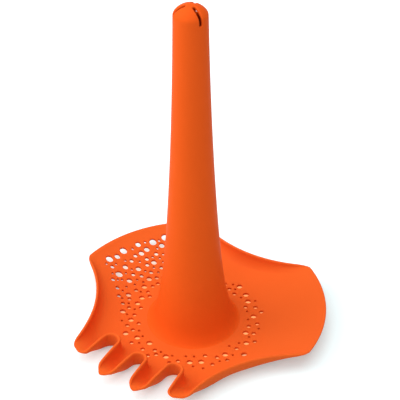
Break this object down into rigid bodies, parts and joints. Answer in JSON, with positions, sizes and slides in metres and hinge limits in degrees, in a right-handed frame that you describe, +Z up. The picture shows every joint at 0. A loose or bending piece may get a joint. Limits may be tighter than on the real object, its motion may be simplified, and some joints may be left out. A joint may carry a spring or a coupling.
{
  "type": "combination sand tool",
  "caption": "Hollow cone handle on a three-lobed blade that is a shovel, a sieve and a rake, with a curled rim and a slotted domed tip.",
  "frame": {"origin": "middle of the footprint's bounding rectangle, on the floor; the handle's axis is 6.1 mm from it towards +Y", "axes": "+Z up along the handle; the rake points to -Y, the shovel to 30 degrees and the sieve to 150 degrees from +X"},
  "size_m": [0.206, 0.1888, 0.28],
  "materials": {
    "handle_plastic": "satin orange polypropylene",
    "blade_plastic": "satin orange polypropylene"
  },
  "bodies": {
    "root": {"cone_handle": "handle_plastic", "blade": "blade_plastic"}
  },
  "joints": []
}
